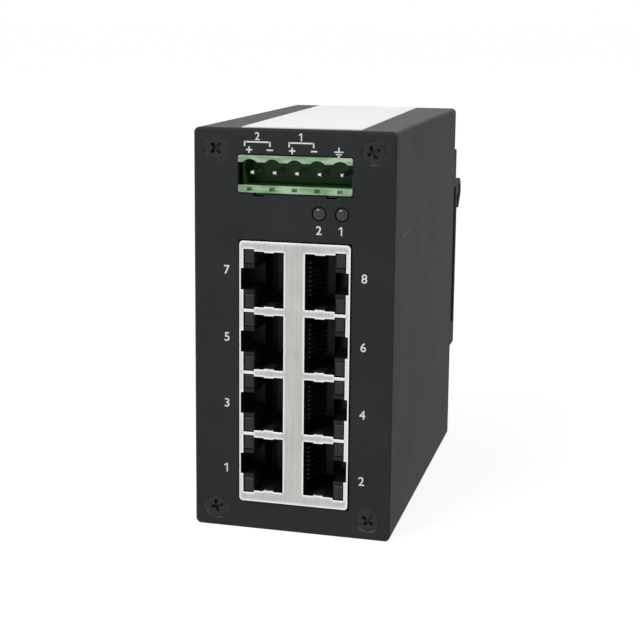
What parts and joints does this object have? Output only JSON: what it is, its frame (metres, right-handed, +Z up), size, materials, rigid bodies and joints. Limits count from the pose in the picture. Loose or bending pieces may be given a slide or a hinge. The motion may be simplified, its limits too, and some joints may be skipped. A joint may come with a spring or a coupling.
{
  "type": "rail-mounted network switch",
  "caption": "Rail-mounted network switch: slim black metal case, stacked modular jack sockets, green pluggable power header, status lights and a sprung rail clip at the back.",
  "frame": {"origin": "middle of the bracket's flat seat, where it rests on the front face of a 35 mm rail, at the height of the rail's centre line", "axes": "+Y out of the back towards the rail, so the front panel faces -Y; +Z up; +X to the right when looking at the front"},
  "size_m": [0.0448, 0.0971, 0.0902],
  "materials": {
    "case_paint": "fine textured black powder coat",
    "black_screw": "black oxide, slightly glossy",
    "label_film": "white film with a satin surface",
    "bracket_paint": "black coat over an extruded bracket",
    "latch_plastic": "black moulded nylon",
    "spring_wire": "bright drawn wire",
    "shield_sheet": "satin tin plate",
    "jack_plastic": "black moulded plastic",
    "port_light": "smoked clear plastic, unlit",
    "contact_gold": "gold plate",
    "header_plastic": "green moulded plastic",
    "pin_tin": "tin plate",
    "board_laminate": "green glass-filled laminate",
    "status_lens": "smoked round lens, unlit",
    "chip_plastic": "black moulded package",
    "capacitor_can": "sleeved can",
    "ferrite": "dark ferrite"
  },
  "bodies": {
    "case": {"case_sleeve": "case_paint", "front_panel": "case_paint", "rear_panel": "case_paint", "front_screws": "black_screw", "rear_screws": "black_screw", "bracket_screws": "black_screw", "top_label": "label_film", "rail_bracket": "bracket_paint", "latch_springs": "spring_wire", "jack_shield": "shield_sheet", "jack_housing": "jack_plastic", "power_header": "header_plastic", "power_pins": "pin_tin", "main_board": "board_laminate", "power_board": "board_laminate", "link_strip": "jack_plastic", "link_pins": "pin_tin", "status_light_1": "status_lens", "status_light_2": "status_lens", "status_light_legs": "pin_tin", "light_spacer": "jack_plastic", "switch_chip": "chip_plastic", "switch_chip_leads": "pin_tin", "memory_chip": "chip_plastic", "clock_crystal": "shield_sheet", "input_capacitor": "capacitor_can", "output_capacitor": "capacitor_can", "power_inductor": "ferrite", "voltage_regulator": "chip_plastic", "input_fuse": "chip_plastic", "surge_diodes": "chip_plastic", "port_lights_1": "port_light", "port_contacts_1": "contact_gold", "port_lights_2": "port_light", "port_contacts_2": "contact_gold", "port_lights_3": "port_light", "port_contacts_3": "contact_gold", "port_lights_4": "port_light", "port_contacts_4": "contact_gold", "port_lights_5": "port_light", "port_contacts_5": "contact_gold", "port_lights_6": "port_light", "port_contacts_6": "contact_gold", "port_lights_7": "port_light", "port_contacts_7": "contact_gold", "port_lights_8": "port_light", "port_contacts_8": "contact_gold"},
    "latch": {"rail_latch": "latch_plastic"}
  },
  "joints": [
    {"name": "latch_release", "type": "slide", "parent": "case", "child": "latch", "axis": [0, 0, -1], "range_m": [0, 0.003], "stiffness_N_per_m": 600, "springref_m": -0.005, "deforming": ["latch_springs"]}
  ]
}
